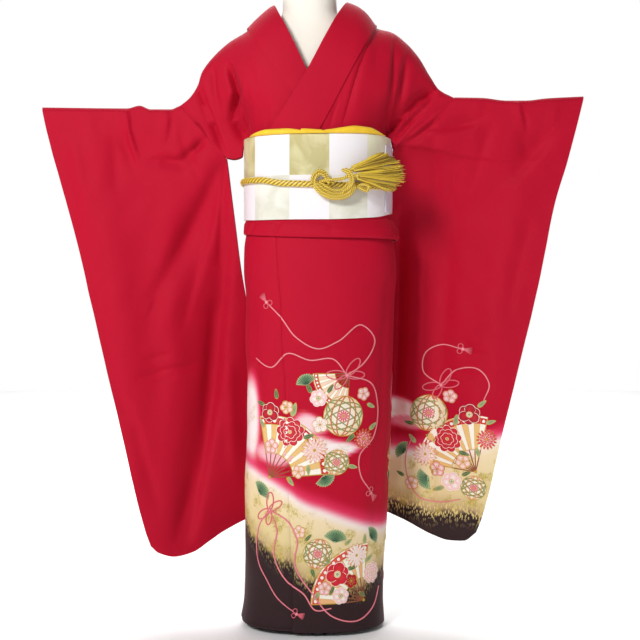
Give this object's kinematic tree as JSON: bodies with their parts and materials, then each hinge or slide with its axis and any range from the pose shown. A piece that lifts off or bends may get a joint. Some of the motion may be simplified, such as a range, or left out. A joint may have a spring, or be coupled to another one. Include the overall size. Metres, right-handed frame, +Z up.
{
  "type": "furisode kimono on a dress form stand",
  "caption": "Long-sleeved kimono with obi, obiage, obijime and tassels, worn by a limbless dress form with a level sleeve bar on a pole and cross foot.",
  "frame": {"origin": "on the floor under the pole, at the centre of the stand's underside", "axes": "+Z up, the garment's front faces -Y, the wearer's left is at +X"},
  "size_m": [1.183, 0.3187, 1.402],
  "materials": {
    "kimono_cloth": "crimson silk crepe, soft sheen, with blurred zones of blush white, beige gold and black-brown and scattered flowers",
    "sash_brocade": "satin brocade, white and pale gold check",
    "sash_scarf": "matt crepe silk, yellow",
    "sash_cord": "twisted silk cord, old gold",
    "form_shell": "smooth cream cover",
    "stand_metal": "black satin paint"
  },
  "bodies": {
    "root": {"body_right_upper": "kimono_cloth", "body_left_upper": "kimono_cloth", "collar": "kimono_cloth", "sleeve_right": "kimono_cloth", "sleeve_left": "kimono_cloth", "skirt_overlap_left": "kimono_cloth", "skirt_body_left": "kimono_cloth", "skirt_body_right": "kimono_cloth", "skirt_overlap_right": "kimono_cloth", "waist_tuck": "kimono_cloth", "obi": "sash_brocade", "obi_wrap": "sash_brocade", "obi_drum": "sash_brocade", "obi_end": "sash_brocade", "obiage": "sash_scarf", "obijime": "sash_cord", "obijime_knot": "sash_cord", "tassel_upper": "sash_cord", "tassel_lower": "sash_cord", "dress_form": "form_shell", "sleeve_bar": "stand_metal", "stand_pole": "stand_metal", "stand_base": "stand_metal"}
  },
  "joints": []
}
